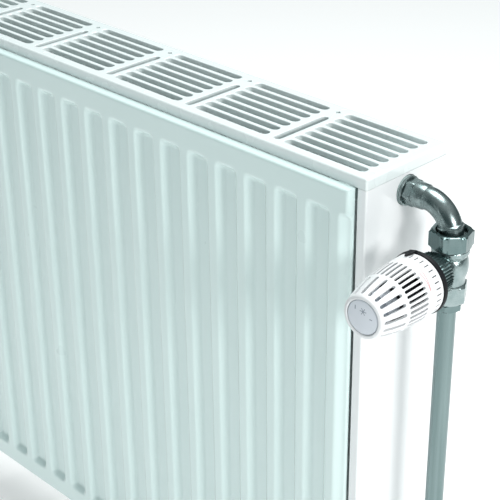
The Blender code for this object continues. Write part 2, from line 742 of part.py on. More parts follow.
combine(valve_body, passage("lower_passage", 7 * MM, 4.2 * MM, PIPE_TOP - MM, HEAD_Z))
combine(valve_body, passage("upper_passage", -6 * MM, 4.8 * MM, HEAD_Z - 4 * MM, SPIGOT_TOP + MM))
combine(valve_body, rod("chamber", CHAMBER_RADIUS, SEAT, BRANCH_END + MM, None, head_frame, group=cutters))
combine(valve_body, rod("seat_bore", SEAT_BORE, -6 * MM, SEAT + MM, None, head_frame, SMALL_STEPS, cutters))

# Union nut over the tail's flange, compression nut and olive round the pipe
union_nut = hexagon("union_nut", UNION_FLATS, UNION_LOW, UNION_TOP, NICKEL, upright)
nut_bore = [
    (0, UNION_TOP + MM),
    (NUT_MOUTH, UNION_TOP + MM),
    (NUT_MOUTH, UNION_TOP - NUT_LIP),
    (SPIGOT + GAP, UNION_TOP - NUT_LIP),
    (SPIGOT + GAP, UNION_LOW - MM),
    (0, UNION_LOW - MM),
]
combine(union_nut, turned("union_bore", nut_bore, None, upright, group=cutters))
compression_nut = hexagon("compression_nut", COMPRESSION_FLATS, HEX_LOW - 7.3 * MM, HEX_LOW - GAP, NICKEL, upright)
nut_shank = rod(
    "nut_shank", OLIVE_POCKET - GAP, HEX_LOW - MM, HEX_LOW + 8.5 * MM, None, upright, group=cutters
)
combine(compression_nut, nut_shank, "UNION")
nut_hole = rod(
    "nut_hole", PIPE_RADIUS + GAP, HEX_LOW - 9 * MM, HEX_LOW + 10 * MM, None, upright, group=cutters
)
combine(compression_nut, nut_hole)
olive_outline = [
    (PIPE_RADIUS + 1.2 * MM, HEX_LOW + 13.8 * MM),
    (PIPE_RADIUS + OLIVE_THICK, HEX_LOW + 12.4 * MM),
    (PIPE_RADIUS + OLIVE_THICK, HEX_LOW + 10.4 * MM),
    (PIPE_RADIUS + 1.2 * MM, HEX_LOW + 8.8 * MM),
    (PIPE_RADIUS + GAP, HEX_LOW + 8.8 * MM),
    (PIPE_RADIUS + GAP, HEX_LOW + 13.8 * MM),
]
turned("olive", olive_outline, BRASS, upright)
pipe_end = BOTTOM - PIPE_BELOW
ring("supply_pipe", PIPE_RADIUS, PIPE_RADIUS - PIPE_WALL, pipe_end, PIPE_TOP, PIPE_STEEL, upright)

# Valve insert, in the branch: a screwed bonnet with its gland, the stem with its washer, and a return spring
head_axis = axis_empty("head_axis", head_frame)
SPRING_ROOM = 5.6 * MM
insert_outline = [
    (STEM_RADIUS + GAP, INSERT_END),
    (7.6 * MM, INSERT_END),
    (7.6 * MM, INSERT_START),
    (SPRING_ROOM, INSERT_START),
    (SPRING_ROOM, SPRING_SEAT),
    (STEM_RADIUS + GAP, SPRING_SEAT),
]
turned("valve_insert", insert_outline, BRASS, head_axis)
ring("stem_gland", 5.0 * MM, STEM_RADIUS + GAP, INSERT_END + GAP, INSERT_END + 3 * MM, BRASS, head_axis)
DISC_FACE = SEAT + GAP + LIFT / 2
DISC_THICK = 2.2 * MM
HOLDER = DISC_FACE + DISC_THICK + GAP
stem_outline = [
    (0, STEM_END),
    (STEM_RADIUS, STEM_END),
    (STEM_RADIUS, HOLDER + 1.6 * MM),
    (5.2 * MM, HOLDER + 1.6 * MM),
    (5.2 * MM, HOLDER),
    (1.4 * MM, HOLDER),
    (1.4 * MM, DISC_FACE + 0.6 * MM),
    (0, DISC_FACE + 0.6 * MM),
]
turned("valve_stem", stem_outline, STEEL, head_axis, SMALL_STEPS)
ring(
    "seat_washer",
    5.4 * MM,
    1.4 * MM + GAP,
    DISC_FACE,
    DISC_FACE + DISC_THICK,
    RUBBER,
    head_axis,
    SMALL_STEPS,
)


def coil(name, radius, wire, low, high, turns, finish):
    """A helical spring about the head's axis."""
    curve = bpy.data.curves.new(name, "CURVE")
    curve.dimensions = "3D"
    curve.bevel_depth = wire
    curve.bevel_resolution = 2
    curve.use_fill_caps = True
    count = turns * 10
    spline = curve.splines.new("POLY")
    spline.points.add(count)
    for i in range(count + 1):
        angle = 2 * pi * i / 10
        height = low + (high - low) * i / count
        spline.points[i].co = (radius * cos(angle), radius * sin(angle), height, 1)
    obj = bpy.data.objects.new(name, curve)
    radiator.objects.link(obj)
    obj.parent = head_axis
    curve.materials.append(finish)
    return obj


SPRING_WIRE = 0.45 * MM
spring_low = HOLDER + 1.6 * MM + SPRING_WIRE + GAP
coil("stem_spring", 3.9 * MM, SPRING_WIRE, spring_low, SPRING_SEAT - SPRING_WIRE - GAP, 4, STEEL)

# Thermostatic head: knurled nut and base ring stay, handle and cap turn, sensor and pusher slide
nut_outline = [
    (NECK_RADIUS + GAP, NUT_END),
    (NUT_RADIUS - MM, NUT_END),
    (NUT_RADIUS, NUT_END - MM),
    (NUT_RADIUS, NUT_START + MM),
    (NUT_RADIUS - MM, NUT_START),
    (THREAD_RADIUS + GAP, NUT_START),
    (THREAD_RADIUS + GAP, NUT_END - 3.5 * MM),
    (NECK_RADIUS + GAP, NUT_END - 3.5 * MM),
]
turned("knurled_nut", nut_outline, NICKEL, head_axis)
RING_END = RING_START + RING_THICK
GUIDE_RADIUS = SENSOR_RADIUS + 2.4 * MM
GUIDE_END = SENSOR_END - 12.0 * MM
NECK_BORE = 8.6 * MM
base_outline = [
    (SENSOR_RADIUS + GAP, GUIDE_END),
    (GUIDE_RADIUS, GUIDE_END),
    (GUIDE_RADIUS, RING_END),
    (RING_RADIUS - MM, RING_END),
    (RING_RADIUS, RING_END - MM),
    (RING_RADIUS, RING_START + MM),
    (RING_RADIUS - MM, RING_START),
    (NECK_RADIUS, RING_START),
    (NECK_RADIUS, BRANCH_END + 3 * MM),
    (THREAD_RADIUS - GAP, BRANCH_END + 3 * MM),
    (THREAD_RADIUS - GAP, BRANCH_END + GAP),
    (NECK_BORE, BRANCH_END + GAP),
    (NECK_BORE, SENSOR_WELL),
    (SENSOR_RADIUS + GAP, SENSOR_WELL),
]
turned("head_base", base_outline, BLACK_PLASTIC, head_axis)
PUSHER_START = STEM_END + GAP
rod("sensor_pusher", 2.6 * MM, PUSHER_START, SENSOR_START - GAP, STEEL, head_axis, SMALL_STEPS)
coil("overtravel_spring", 4.4 * MM, SPRING_WIRE, RING_START + 3 * MM, SENSOR_START - SPRING_WIRE - GAP, 3, STEEL)
rod("sensor", SENSOR_RADIUS, SENSOR_START, SENSOR_END, CAP_PLASTIC, head_axis)

HANDLE_START = RING_END + GAP
HANDLE_END = RING_START + 5 * MM + HANDLE_LONG
HANDLE_OUTLINE = [  # share of the handle's length from the back, and the radius there
    (0.00, 24.3),
    (0.22, 24.5),
    (0.40, 24.0),
    (0.62, 22.6),
    (0.80, 20.6),
    (0.92, 18.6),
    (1.00, 16.6),
]
outer_side = [(radius * MM, HANDLE_START + at * (HANDLE_END - HANDLE_START)) for at, radius in HANDLE_OUTLINE]
inner_side = [(radius - HANDLE_WALL, height) for radius, height in outer_side]
FRONT_WALL = 5.0 * MM
cap_seat = CAP_RADIUS + GAP
inner_side[-1] = (inner_side[-1][0], HANDLE_END - FRONT_WALL)
handle_outline = outer_side[::-1] + inner_side + [(cap_seat, HANDLE_END - FRONT_WALL), (cap_seat, HANDLE_END)]
turned("handle_sleeve", handle_outline, WHITE_PLASTIC, head_axis)
cap_outline = [
    (0, HANDLE_END - 0.2 * MM),
    (CAP_RADIUS - 0.8 * MM, HANDLE_END - 0.2 * MM),
    (CAP_RADIUS, HANDLE_END - MM),
    (CAP_RADIUS, HANDLE_END - FRONT_WALL),
    (0, HANDLE_END - FRONT_WALL),
]
turned("end_cap", cap_outline, CAP_PLASTIC, head_axis)


def limit_clip(name, angle, finish):
    """A small stop pushed into the back of the handle, where it meets the base ring's stop."""
    way = Matrix.Rotation(angle, 4, "Z")
    inner = outer_side[0][0] - HANDLE_WALL
    clip = block(
        name,
        (inner - 3.2 * MM, -1.5 * MM, HANDLE_START + 1.0 * MM),
        (inner - 0.5 * MM, 1.5 * MM, HANDLE_START + 9 * MM),
        finish,
        head_axis,
    )
    clip.matrix_parent_inverse = way
    return clip


limit_clip("low_limit_clip", radians(-110), BLUE_PLASTIC)
limit_clip("high_limit_clip", radians(-70), RED_PLASTIC)
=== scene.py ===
"""A steel panel radiator with its thermostatic valve, standing clear on a pale studio floor."""

import json
import math

import bmesh
import bpy
from mathutils import Matrix, Vector

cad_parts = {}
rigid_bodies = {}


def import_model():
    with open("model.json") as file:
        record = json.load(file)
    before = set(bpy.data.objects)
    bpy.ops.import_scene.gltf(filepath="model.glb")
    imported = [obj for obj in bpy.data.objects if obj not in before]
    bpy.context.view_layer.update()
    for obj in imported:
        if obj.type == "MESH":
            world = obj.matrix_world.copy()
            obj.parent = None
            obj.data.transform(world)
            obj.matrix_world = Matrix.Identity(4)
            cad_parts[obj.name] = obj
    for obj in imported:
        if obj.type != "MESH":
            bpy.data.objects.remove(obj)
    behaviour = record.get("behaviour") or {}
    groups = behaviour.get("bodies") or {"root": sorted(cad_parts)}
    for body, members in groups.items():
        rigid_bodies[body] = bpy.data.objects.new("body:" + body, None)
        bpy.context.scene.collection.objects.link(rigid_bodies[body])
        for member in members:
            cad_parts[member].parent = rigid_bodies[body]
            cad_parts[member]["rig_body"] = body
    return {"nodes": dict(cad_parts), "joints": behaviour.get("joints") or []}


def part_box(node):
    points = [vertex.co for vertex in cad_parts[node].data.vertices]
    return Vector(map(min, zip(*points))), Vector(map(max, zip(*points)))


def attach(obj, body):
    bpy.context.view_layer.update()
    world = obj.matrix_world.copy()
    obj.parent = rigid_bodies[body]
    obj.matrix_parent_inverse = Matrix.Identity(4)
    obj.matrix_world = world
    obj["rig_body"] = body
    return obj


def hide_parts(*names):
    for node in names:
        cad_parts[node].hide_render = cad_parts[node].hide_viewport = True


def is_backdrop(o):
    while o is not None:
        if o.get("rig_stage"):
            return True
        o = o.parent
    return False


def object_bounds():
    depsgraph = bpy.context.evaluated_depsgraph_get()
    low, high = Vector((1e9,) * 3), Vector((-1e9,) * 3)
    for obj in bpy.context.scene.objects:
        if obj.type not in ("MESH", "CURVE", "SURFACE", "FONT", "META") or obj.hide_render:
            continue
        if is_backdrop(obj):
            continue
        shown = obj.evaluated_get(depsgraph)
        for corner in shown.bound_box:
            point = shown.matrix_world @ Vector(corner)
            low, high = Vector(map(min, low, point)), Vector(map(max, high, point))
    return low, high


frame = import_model()
cad_low, cad_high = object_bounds()


# Water panels. Each is a cold-rolled steel sheet pressed into upright flutes between flat header bands,
# with its edges rolled back to meet a flat inner sheet. White stove enamel covers both.
MM = 0.001


class Wire:
    """A node's output socket that can stand in a sum."""

    def __init__(self, socket):
        self.socket = socket
        self.tree = socket.id_data

    def math(self, operation, *others):
        sockets = dict(enumerate((self, *others)))
        return add(self.tree, "ShaderNodeMath", sockets, operation=operation)

    def __add__(self, other):
        return self.math("ADD", other)

    def __sub__(self, other):
        return self.math("SUBTRACT", other)

    def __mul__(self, other):
        return self.math("MULTIPLY", other)

    def __truediv__(self, other):
        return self.math("DIVIDE", other)

    __radd__ = __add__
    __rmul__ = __mul__

    def __rsub__(self, other):
        return self * -1 + other

    def clip(self, low=0, high=1):
        return self.math("MAXIMUM", low).math("MINIMUM", high)

    def below(self, edge, soft=0.00005):
        """One under the edge and nothing over it, with a soft step between."""
        return ((edge - self) / soft + 0.5).clip()


def join(socket, value):
    if isinstance(value, Wire):
        value.tree.links.new(value.socket, socket)
    else:
        socket.default_value = value


def add(tree, kind, sockets=None, out=0, **settings):
    """A new node with its settings and its sockets filled in, as the wire that leaves it."""
    node = tree.nodes.new(kind)
    for name, value in settings.items():
        setattr(node, name, value)
    for name, value in (sockets or {}).items():
        join(node.inputs[name], value)
    return Wire(node.outputs[out])


def split(vector):
    """The three parts of a vector."""
    first = add(vector.tree, "ShaderNodeSeparateXYZ", {0: vector})
    return [Wire(socket) for socket in first.socket.node.outputs]


def built(x, y, z, tree):
    return add(tree, "ShaderNodeCombineXYZ", {0: x, 1: y, 2: z})


def finish(name, colour, roughness, metallic=0.0, coat=0.0):
    """A new material, its shader, and the place on the object."""
    made = bpy.data.materials.new(name)
    made.use_nodes = True
    shader = made.node_tree.nodes["Principled BSDF"]
    join(shader.inputs["Base Color"], (*colour, 1))
    join(shader.inputs["Roughness"], roughness)
    join(shader.inputs["Metallic"], metallic)
    join(shader.inputs["Coat Weight"], coat)
    place = add(made.node_tree, "ShaderNodeTexCoord", out="Object")
    return made, shader, place


def noise(place, scale, detail=2.0, stretch=(1, 1, 1)):
    turned_place = add(place.tree, "ShaderNodeMapping", {"Vector": place, "Scale": stretch})
    sockets = {"Vector": turned_place, "Scale": scale, "Detail": detail}
    return add(place.tree, "ShaderNodeTexNoise", sockets)


def blend(factor, first, second):
    """A mix of two colours."""
    first = first if isinstance(first, Wire) else (*first, 1)
    second = second if isinstance(second, Wire) else (*second, 1)
    sockets = {0: factor, 6: first, 7: second}
    return add(factor.tree, "ShaderNodeMix", sockets, out=2, data_type="RGBA")


def raise_by(shader, height, distance, strength=1.0):
    """Bumps a shader's surface by a height from nothing to one."""
    sockets = {"Height": height, "Distance": distance, "Strength": strength}
    join(shader.inputs["Normal"], add(height.tree, "ShaderNodeBump", sockets))


def enamel(name, light, shade, roughness):
    """Stove enamel: a shade uneven from spraying, with the faint waviness of its flow."""
    made, shader, place = finish(name, light, roughness, coat=0.7)
    join(shader.inputs["Base Color"], blend(noise(place, 9.0), light, shade))
    join(shader.inputs["Roughness"], roughness + noise(place, 40.0) * 0.06)
    raise_by(shader, noise(place, 260.0, 1.0), 0.03 * MM, 0.6)
    return made


def geometry_tree(name, *inputs):
    """A geometry node tree with a mesh and some lengths coming in."""
    tree = bpy.data.node_groups.new(name, "GeometryNodeTree")
    tree.interface.new_socket("Mesh", in_out="INPUT", socket_type="NodeSocketGeometry")
    tree.interface.new_socket("Mesh", in_out="OUTPUT", socket_type="NodeSocketGeometry")
    for label in inputs:
        tree.interface.new_socket(label, in_out="INPUT", socket_type="NodeSocketFloat")
    start = tree.nodes.new("NodeGroupInput")
    return tree, *(Wire(socket) for socket in start.outputs[: len(inputs) + 1])


def close(tree, geometry, material):
    """Ends the tree in one real mesh with its material."""
    whole = add(tree, "GeometryNodeRealizeInstances", {0: geometry})
    painted = add(tree, "GeometryNodeSetMaterial", {"Geometry": whole, "Material": material})
    end = tree.nodes.new("NodeGroupOutput")
    join(end.inputs[0], painted)


def shown(name, mesh):
    obj = bpy.data.objects.new(name, mesh)
    bpy.context.scene.collection.objects.link(obj)
    return obj


def refined(mesh, *steps, tree=None, **values):
    """The mesh after a list of modifiers, or after one node tree with values for its inputs."""
    host = shown(mesh.name, mesh)
    for kind, settings in steps:
        change = host.modifiers.new(kind.lower(), kind)
        for name, value in settings.items():
            setattr(change, name, value)
    if tree:
        change = host.modifiers.new(tree.name, "NODES")
        change.node_group = tree
        for item in tree.interface.items_tree:
            if item.name in values:
                change[item.identifier] = float(values[item.name])
    graph = bpy.context.evaluated_depsgraph_get()
    made = bpy.data.meshes.new_from_object(host.evaluated_get(graph))
    bpy.data.objects.remove(host)
    return made


def fit(name, mesh, material, node, sharp=35, flat=False):
    """Puts a finished piece in the scene in its CAD node's place. A flat one shades by its large faces."""
    mesh.materials.clear()
    mesh.materials.append(material)
    mesh.shade_smooth()
    mesh.set_sharp_from_angle(angle=math.radians(sharp))
    if flat:
        mesh = refined(mesh, ("WEIGHTED_NORMAL", {"keep_sharp": True, "weight": 100}))
    obj = shown(name, mesh)
    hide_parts(node)
    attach(obj, frame["nodes"][node]["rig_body"])
    return obj


def paint(material, *nodes):
    for node in nodes:
        for slot in frame["nodes"][node].material_slots:
            slot.material = material


FLUTE_PITCH = 33.333 * MM
CROWN_HALF = 4.5 * MM
SLOPE_END = 10.5 * MM
FLUTE_DEEP = 5.5 * MM
BEND_SOFT = 0.9 * MM
BAND = 20.0 * MM
BAND_END = 25.5 * MM
RIM = 2.2 * MM
SHEET = 1.2 * MM
FLUTE_COLUMNS = 32
COLUMNS = 565
ROWS = 46
ROW_REACH = 34.0 * MM
RIM_STEPS = 4
ALMOST = 0.01 * MM

# Painted shade: both tones of the panel enamel are made darker and more teal than the white of the covers,
# as the panels' front faces look in shade. This colour covers the whole panels and the tees.
PANEL_ENAMEL_PAINTED_SHADE = enamel("panel enamel with painted shade", (0.67, 0.82, 0.805), (0.71, 0.85, 0.835), 0.26)


def ramp(distance, soft):
    """Nothing below zero and the distance itself above it, with a round bend of the soft size between."""
    bend = (distance + soft).clip(0, 2 * soft)
    return bend * bend / (4 * soft) + (distance - soft).math("MAXIMUM", 0)


def fluted_skin():
    """One outer sheet at Y = 0: a flat grid pressed into flutes, with its open edges rolled back."""
    low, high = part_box("front_panel_outer_skin")
    flat_wide = high.x - RIM
    flat_tall = (high.z - low.z) / 2 - RIM
    middle = (high.z + low.z) / 2
    tree, _, pitch, deep, rim, back = geometry_tree("fluted skin", "Pitch", "Deep", "Rim", "Back")
    sizes = {
        "Size X": pitch * (COLUMNS - 1) / FLUTE_COLUMNS,
        "Size Y": 2 * ROW_REACH,
        "Vertices X": COLUMNS,
        "Vertices Y": ROWS,
    }
    grid = add(tree, "GeometryNodeMeshGrid", sizes)
    x, y = split(add(tree, "GeometryNodeInputPosition"))[:2]
    last_column = flat_wide - FLUTE_PITCH / FLUTE_COLUMNS * 2 / 3
    edge = x.math("ABSOLUTE").math("GREATER_THAN", last_column)
    across = x + x.math("SIGN") * edge * (flat_wide - x.math("ABSOLUTE"))
    upward = y + y.math("SIGN") * (flat_tall - ROW_REACH)
    flute = ((x / pitch).math("FLOORED_MODULO", 1) - 0.5).math("ABSOLUTE") * pitch
    slope = SLOPE_END - CROWN_HALF
    pressed = (ramp(flute - CROWN_HALF, BEND_SOFT) - ramp(flute - SLOPE_END, BEND_SOFT)) / slope
    inward = flat_tall + RIM - upward.math("ABSOLUTE")
    taper = BAND_END - BAND
    faded = (ramp(inward - BAND, BEND_SOFT) - ramp(inward - BAND_END, BEND_SOFT)) / taper
    depth = pressed * faded * deep
    place = built(across, depth, upward + middle, tree)
    sheet = add(tree, "GeometryNodeSetPosition", {"Geometry": grid, "Position": place})
    faces = add(tree, "GeometryNodeInputMeshEdgeNeighbors")
    open_edge = add(tree, "FunctionNodeCompare", {2: faces, 3: 1}, data_type="INT", operation="EQUAL")
    px, py, pz = split(add(tree, "GeometryNodeInputPosition"))
    out_x = px.math("SIGN") * px.math("ABSOLUTE").math("GREATER_THAN", flat_wide - ALMOST)
    pz = pz - middle
    out_z = pz.math("SIGN") * pz.math("ABSOLUTE").math("GREATER_THAN", flat_tall - ALMOST)
    for step in range(RIM_STEPS + 1):
        before = math.pi / 2 * step / RIM_STEPS
        turn = math.pi / 2 * (step + 1) / RIM_STEPS
        rolled = step < RIM_STEPS
        out = rim * (math.sin(turn) - math.sin(before)) if rolled else 0
        sink = rim * (math.cos(before) - math.cos(turn)) if rolled else back - py
        sockets = {"Mesh": sheet, "Selection": open_edge, "Offset Scale": 0.0}
        sheet = add(tree, "GeometryNodeExtrudeMesh", sockets, mode="EDGES")
        top = Wire(sheet.socket.node.outputs["Top"])
        offset = built(out_x * out, sink, out_z * out, tree)
        sockets = {"Geometry": sheet, "Selection": top, "Offset": offset}
        sheet = add(tree, "GeometryNodeSetPosition", sockets)
    close(tree, sheet, PANEL_ENAMEL_PAINTED_SHADE)
    values = {"Pitch": FLUTE_PITCH, "Deep": FLUTE_DEEP, "Rim": RIM, "Back": high.y - low.y}
    skin = refined(bpy.data.meshes.new("skin"), tree=tree, **values)
    return refined(skin, ("SOLIDIFY", {"thickness": SHEET, "offset": -1}))


skin = fluted_skin()
back_skin = skin.copy()
skin.transform(Matrix.Translation((0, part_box("front_panel_outer_skin")[0].y, 0)))
half_turn = Matrix.Rotation(math.pi, 4, "Z")
back_skin.transform(Matrix.Translation((0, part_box("rear_panel_outer_skin")[1].y, 0)) @ half_turn)
fit("front_panel", skin, PANEL_ENAMEL_PAINTED_SHADE, "front_panel_outer_skin", 60)
fit("rear_panel", back_skin, PANEL_ENAMEL_PAINTED_SHADE, "rear_panel_outer_skin", 60)
paint(PANEL_ENAMEL_PAINTED_SHADE, "front_panel_inner_skin", "rear_panel_inner_skin")


# Convectors and tees. The convectors are thin folded strip, spot-welded to the inner sheets and only dipped
# in pale primer. The tees are steel tube with a tapped boss, welded between the panels and enamelled.
primer, primer_shader, primer_place = finish("fin primer", (0.78, 0.83, 0.83), 0.55)
primer_cloud = noise(primer_place, 60.0, 3.0)
join(primer_shader.inputs["Base Color"], blend(primer_cloud, (0.70, 0.76, 0.76), (0.84, 0.88, 0.88)))
paint(primer, "front_convector", "rear_convector")
paint(PANEL_ENAMEL_PAINTED_SHADE, "upper_right_tee", "upper_left_tee", "lower_right_tee", "lower_left_tee")


# Side covers. Each is thin steel sheet folded to a front and a rear flange, with a shelf at the top that
# carries the grille and two holes for the tappings. It is powder coated, and whiter than the panel enamel,
# which carries painted shade.
COVER_SHEET = 0.75 * MM
COVER_FLANGE = 8.3 * MM
COVER_FOLD = 1.5 * MM
COVER_HOLE = 12.5 * MM
FOLD_STEPS = 4
SHELF_SET = 2.0 * MM
SHELF_BACK = 9.0 * MM

COVER_WHITE = enamel("cover enamel", (0.85, 0.875, 0.885), (0.87, 0.89, 0.90), 0.2)


def facing(origin, forward, up=(0, 0, 1)):
    """A frame at the origin whose Z looks forward and whose Y is up."""
    forward = Vector(forward).normalized()
    across = Vector(up).cross(forward).normalized()
    axes = Matrix((across, forward.cross(across), forward)).transposed()
    return Matrix.Translation(origin) @ axes.to_4x4()


def finished(made, name, outside=True):
    """The mesh of a bmesh, with its faces turned outside."""
    if outside:
        bmesh.ops.recalc_face_normals(made, faces=made.faces)
    mesh = bpy.data.meshes.new(name)
    made.to_mesh(mesh)
    made.free()
    return mesh


def lofted(name, rings, place):
    """A closed body through rings of points. A ring of one point is a pole."""
    made = bmesh.new()
    loops = [[made.verts.new(place @ Vector(point)) for point in points] for points in rings]
    if len(rings[0]) > 1:
        loops.append(loops[0])
    for low, high in zip(loops, loops[1:]):
        count = max(len(low), len(high))
        for i in range(count):
            j = (i + 1) % count
            corners = (low[i % len(low)], low[j % len(low)], high[j % len(high)], high[i % len(high)])
            made.faces.new(list(dict.fromkeys(corners)))
    return finished(made, name)


def turned(name, outline, place, steps=64, flats=None):
    """A turned body from (radius, height) pairs in millimetres, with six flats milled on it if given."""
    rings = []
    for radius, height in outline:
        points = []
        for i in range(steps if radius else 1):
            angle = 2 * math.pi * i / steps
            size = radius
            if flats:
                size = min(radius, flats / 2 / math.cos(angle % (math.pi / 3) - math.pi / 6))
            points.append((size * MM * math.cos(angle), size * MM * math.sin(angle), height * MM))
        rings.append(points)
    return lofted(name, rings, place)


def block(name, low, high):
    made = bmesh.new()
    size = [b - a for a, b in zip(low, high)]
    middle = [(a + b) / 2 for a, b in zip(low, high)]
    bmesh.ops.create_cube(made, size=1, matrix=Matrix.Translation(middle) @ Matrix.Diagonal((*size, 1)))
    return finished(made, name)


def cut(mesh, *cutters, operation="DIFFERENCE"):
    """The mesh with the other meshes cut from it, or joined on."""
    for cutter in cutters:
        tool = shown("tool", cutter)
        settings = {"operation": operation, "solver": "EXACT", "object": tool}
        mesh = refined(mesh, ("BOOLEAN", settings))
        bpy.data.objects.remove(tool)
    return mesh


for side, name in ((1, "right"), (-1, "left")):
    node = f"{name}_side_cover"
    low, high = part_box(node)
    face, shelf = (high.x, low.x) if side > 0 else (low.x, high.x)
    flange = face - side * COVER_FLANGE
    shelf_front, shelf_back = low.y + SHELF_SET, high.y - SHELF_BACK
    arc = [math.pi / 2 * i / FOLD_STEPS for i in range(FOLD_STEPS + 1)]
    inward = side * COVER_FOLD
    front = [(face - inward * (1 - math.sin(a)), low.y + COVER_FOLD * (1 - math.cos(a))) for a in arc]
    rear = [(face - inward * (1 - math.cos(a)), high.y - COVER_FOLD * (1 - math.sin(a))) for a in arc]
    outline = [(flange, low.y), *front, (face, shelf_front), (face, shelf_back), *rear, (flange, high.y)]
    made = bmesh.new()
    foot = [made.verts.new((x, y, low.z)) for x, y in outline]
    head = [made.verts.new((x, y, high.z)) for x, y in outline]
    tray = [made.verts.new((shelf, y, high.z)) for y in (shelf_back, shelf_front)]
    walls = [(foot[i], foot[i + 1], head[i + 1], head[i]) for i in range(len(foot) - 1)]
    shelf_from = len(front) + 1
    walls.append((head[shelf_from], head[shelf_from + 1], *tray))
    for corners in walls:
        made.faces.new(corners if side > 0 else corners[::-1])
    cover = finished(made, node, outside=False)
    cover = refined(cover, ("SOLIDIFY", {"thickness": COVER_SHEET, "offset": -1}))
    for level in ("upper", "lower"):
        tee_low, tee_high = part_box(f"{level}_{name}_tee")
        hole_place = facing((face, (low.y + high.y) / 2, (tee_low.z + tee_high.z) / 2), (side, 0, 0))
        radius = COVER_HOLE / MM
        hole_outline = [(0, 4), (radius, 4), (radius, -4), (0, -4)]
        cover = cut(cover, turned("hole", hole_outline, hole_place))
    fit(f"{name}_cover", cover, COVER_WHITE, node, flat=True)


# Top grille. A pressed and enamelled steel tray lies over the whole depth, with six sections of seven long
# slots between rounded bars. Each bridge between two sections has a narrow slot and a small square hole.
BAR_DEEP = 4.2 * MM
GRILLE_ROUND = 1.8 * MM
GRILLE_WALL = 1.0 * MM
SECTIONS = 6
SLOT_ROWS = 7
SLOT_WIDE = 7.6 * MM
SLOT_PITCH = 11.6 * MM
SLOT_END = 11.0 * MM
SLOT_BRIDGE = 19.0 * MM
SLOT_FLARE = 0.9 * MM
BRIDGE_SLOT = 7.0 * MM
BRIDGE_FLARE = 0.6 * MM
BRIDGE_ROWS = 5.2
BRIDGE_SET = 1.5 * MM
HOLE_HALF = 2.6 * MM
CUT_PAST = 2 * MM
END_STEPS = 9

grille_low, grille_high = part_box("top_grille")
GRILLE_WHITE = enamel("grille enamel", (0.78, 0.85, 0.85), (0.82, 0.88, 0.88), 0.24)


def stadium(name, long, wide, flare, deep, along="X"):
    """A slot's cutter about the origin, its mouth flared to the sheet's top at Z = 0."""
    levels = [(flare, CUT_PAST), (flare, 0.05 * MM)]
    for i in range(1, 5):
        turn = i / 4 * math.pi / 2
        levels.append((flare * (1 - math.sin(turn)), -flare * (1 - math.cos(turn))))
    levels.append((0, -deep))
    rings = []
    for more, height in levels:
        radius = wide / 2 + more
        middle = (long - wide) / 2
        points = []
        for i in range(2 * END_STEPS):
            half, step = divmod(i, END_STEPS)
            angle = math.pi * half + math.pi * step / (END_STEPS - 1) - math.pi / 2
            shift = -middle if half else middle
            points.append((shift + radius * math.cos(angle), radius * math.sin(angle), height))
        rings.append(points)
    low = [(0, 0, rings[-1][0][2])]
    high = [(0, 0, rings[0][0][2])]
    turn = Matrix.Rotation(math.pi / 2 if along == "Y" else 0, 4, "Z")
    return lofted(name, [high, *rings, low], turn)


def repeated(name, mesh, columns, rows, across, along, material):
    """Copies of a mesh on the points of a flat grid."""
    tree, base, wide, deep = geometry_tree(name, "Wide", "Deep")
    grid_sizes = {"Size X": wide, "Size Y": deep, "Vertices X": columns, "Vertices Y": rows}
    points = add(tree, "GeometryNodeMeshGrid", grid_sizes)
    copies = add(tree, "GeometryNodeInstanceOnPoints", {"Points": points, "Instance": base})
    close(tree, copies, material)
    return refined(mesh, tree=tree, Wide=(columns - 1) * across, Deep=(rows - 1) * along)


length = grille_high.x - grille_low.x
slot_long = (length - 2 * SLOT_END - (SECTIONS - 1) * SLOT_BRIDGE) / SECTIONS
grille_middle = (grille_low.y + grille_high.y) / 2
on_top = Matrix.Translation((0, grille_middle, grille_high.z))
slots = repeated(
    "grille slots",
    stadium("slot", slot_long, SLOT_WIDE, SLOT_FLARE, BAR_DEEP + CUT_PAST),
    SECTIONS,
    SLOT_ROWS,
    slot_long + SLOT_BRIDGE,
    SLOT_PITCH,
    GRILLE_WHITE,
)
slots.transform(on_top)
last_row = (SLOT_ROWS - 1) / 2 * SLOT_PITCH
bridge_long = BRIDGE_ROWS * SLOT_PITCH
bridge_middle = -last_row - SLOT_WIDE / 2 + bridge_long / 2
bridge = stadium("bridge slot", bridge_long, BRIDGE_SLOT, BRIDGE_FLARE, BAR_DEEP + CUT_PAST, "Y")
bridge.transform(Matrix.Translation((0, bridge_middle, 0)))
half = HOLE_HALF / MM
hole_outline = [(0, 3), (half, 3), (half, -7), (0, -7)]
diamond = turned("diamond", hole_outline, Matrix.Translation((0, last_row, 0)), steps=4)
bridge_cuts = []
for cutter in (bridge, diamond):
    row = repeated(cutter.name, cutter, SECTIONS - 1, 1, slot_long + SLOT_BRIDGE, 0, GRILLE_WHITE)
    row.transform(on_top @ Matrix.Translation((BRIDGE_SET, 0, 0)))
    bridge_cuts.append(row)

# The tray is rounded all round on a deeper block, whose foot is then cut off square.
deep_low = grille_low - Vector((0, 0, 3 * MM))
tray = refined(block("grille", deep_low, grille_high), ("BEVEL", {"width": GRILLE_ROUND, "segments": 5}))
wall = Vector((GRILLE_WALL, GRILLE_WALL, 0))
below = block("below", grille_low - Vector((0.01, 0.01, 0.01)), (1, 1, grille_low.z))
inside_low = deep_low + wall - Vector((0, 0, 1 * MM))
inside = block("inside", inside_low, grille_high - wall - Vector((0, 0, BAR_DEEP)))
fit("grille", cut(tray, below, inside, slots, *bridge_cuts), GRILLE_WHITE, "top_grille", 40, True)


